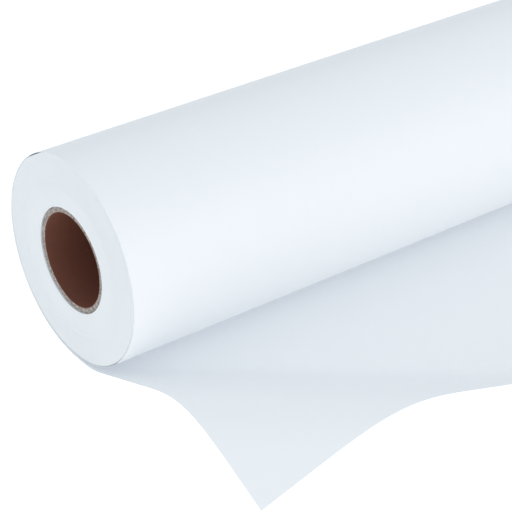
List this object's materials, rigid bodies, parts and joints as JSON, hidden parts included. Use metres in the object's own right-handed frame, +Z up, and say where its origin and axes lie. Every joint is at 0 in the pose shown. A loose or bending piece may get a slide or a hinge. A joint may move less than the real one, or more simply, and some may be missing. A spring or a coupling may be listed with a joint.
{
  "type": "roll of sign vinyl",
  "caption": "Wide roll of white self-adhesive sign vinyl wound on a paperboard core, its free end drawn out flat underneath with one curled corner.",
  "frame": {"origin": "centre of the core's bore, half way along the roll", "axes": "+X along the roll's axis, away from the end whose web corner is curled; the web runs out towards -Y; +Z up"},
  "size_m": [0.61, 0.342, 0.172],
  "materials": {
    "face_film": "satin white calendered vinyl",
    "adhesive": "clear pressure-sensitive adhesive coat",
    "release_liner": "smooth white silicone-coated liner paper",
    "wound_web": "cut edges of tightly wound film and liner",
    "core_skin": "smooth dark brown kraft ply",
    "core_board": "fibrous grey chipboard ply",
    "start_tape": "cream paper tape"
  },
  "bodies": {
    "turn": {"outer_turn_film": "face_film", "outer_turn_adhesive": "adhesive", "outer_turn_liner": "release_liner"},
    "roll": {"core_inner_ply": "core_skin", "core_board_ply_1": "core_board", "core_board_ply_2": "core_board", "core_board_ply_3": "core_board", "core_board_ply_4": "core_board", "core_outer_ply": "core_board", "start_tape_1": "start_tape", "start_tape_2": "start_tape", "start_tape_3": "start_tape", "wound_pack": "wound_web"},
    "tail": {"tail_film": "face_film", "tail_adhesive": "adhesive", "tail_liner": "release_liner"},
    "corner": {"corner_film": "face_film", "corner_adhesive": "adhesive", "corner_liner": "release_liner"}
  },
  "joints": [
    {"name": "roll_spin", "type": "hinge", "parent": "turn", "child": "roll", "pos_m": [0, 0, 0], "axis": [-1, 0, 0], "range_deg": [0, 360]},
    {"name": "web_feed", "type": "slide", "parent": "turn", "child": "tail", "axis": [0, -1, 0], "range_m": [0, 0.541]},
    {"name": "corner_lift", "type": "hinge", "parent": "tail", "child": "corner", "pos_m": [-0.37851, -0.09682, -0.04542], "axis": [-0.7826, 0.6225, 0], "range_deg": [0, 90]}
  ],
  "couplings": [
    {"joint": "web_feed", "follows": "roll_spin", "m_per_rad": 0.086}
  ]
}
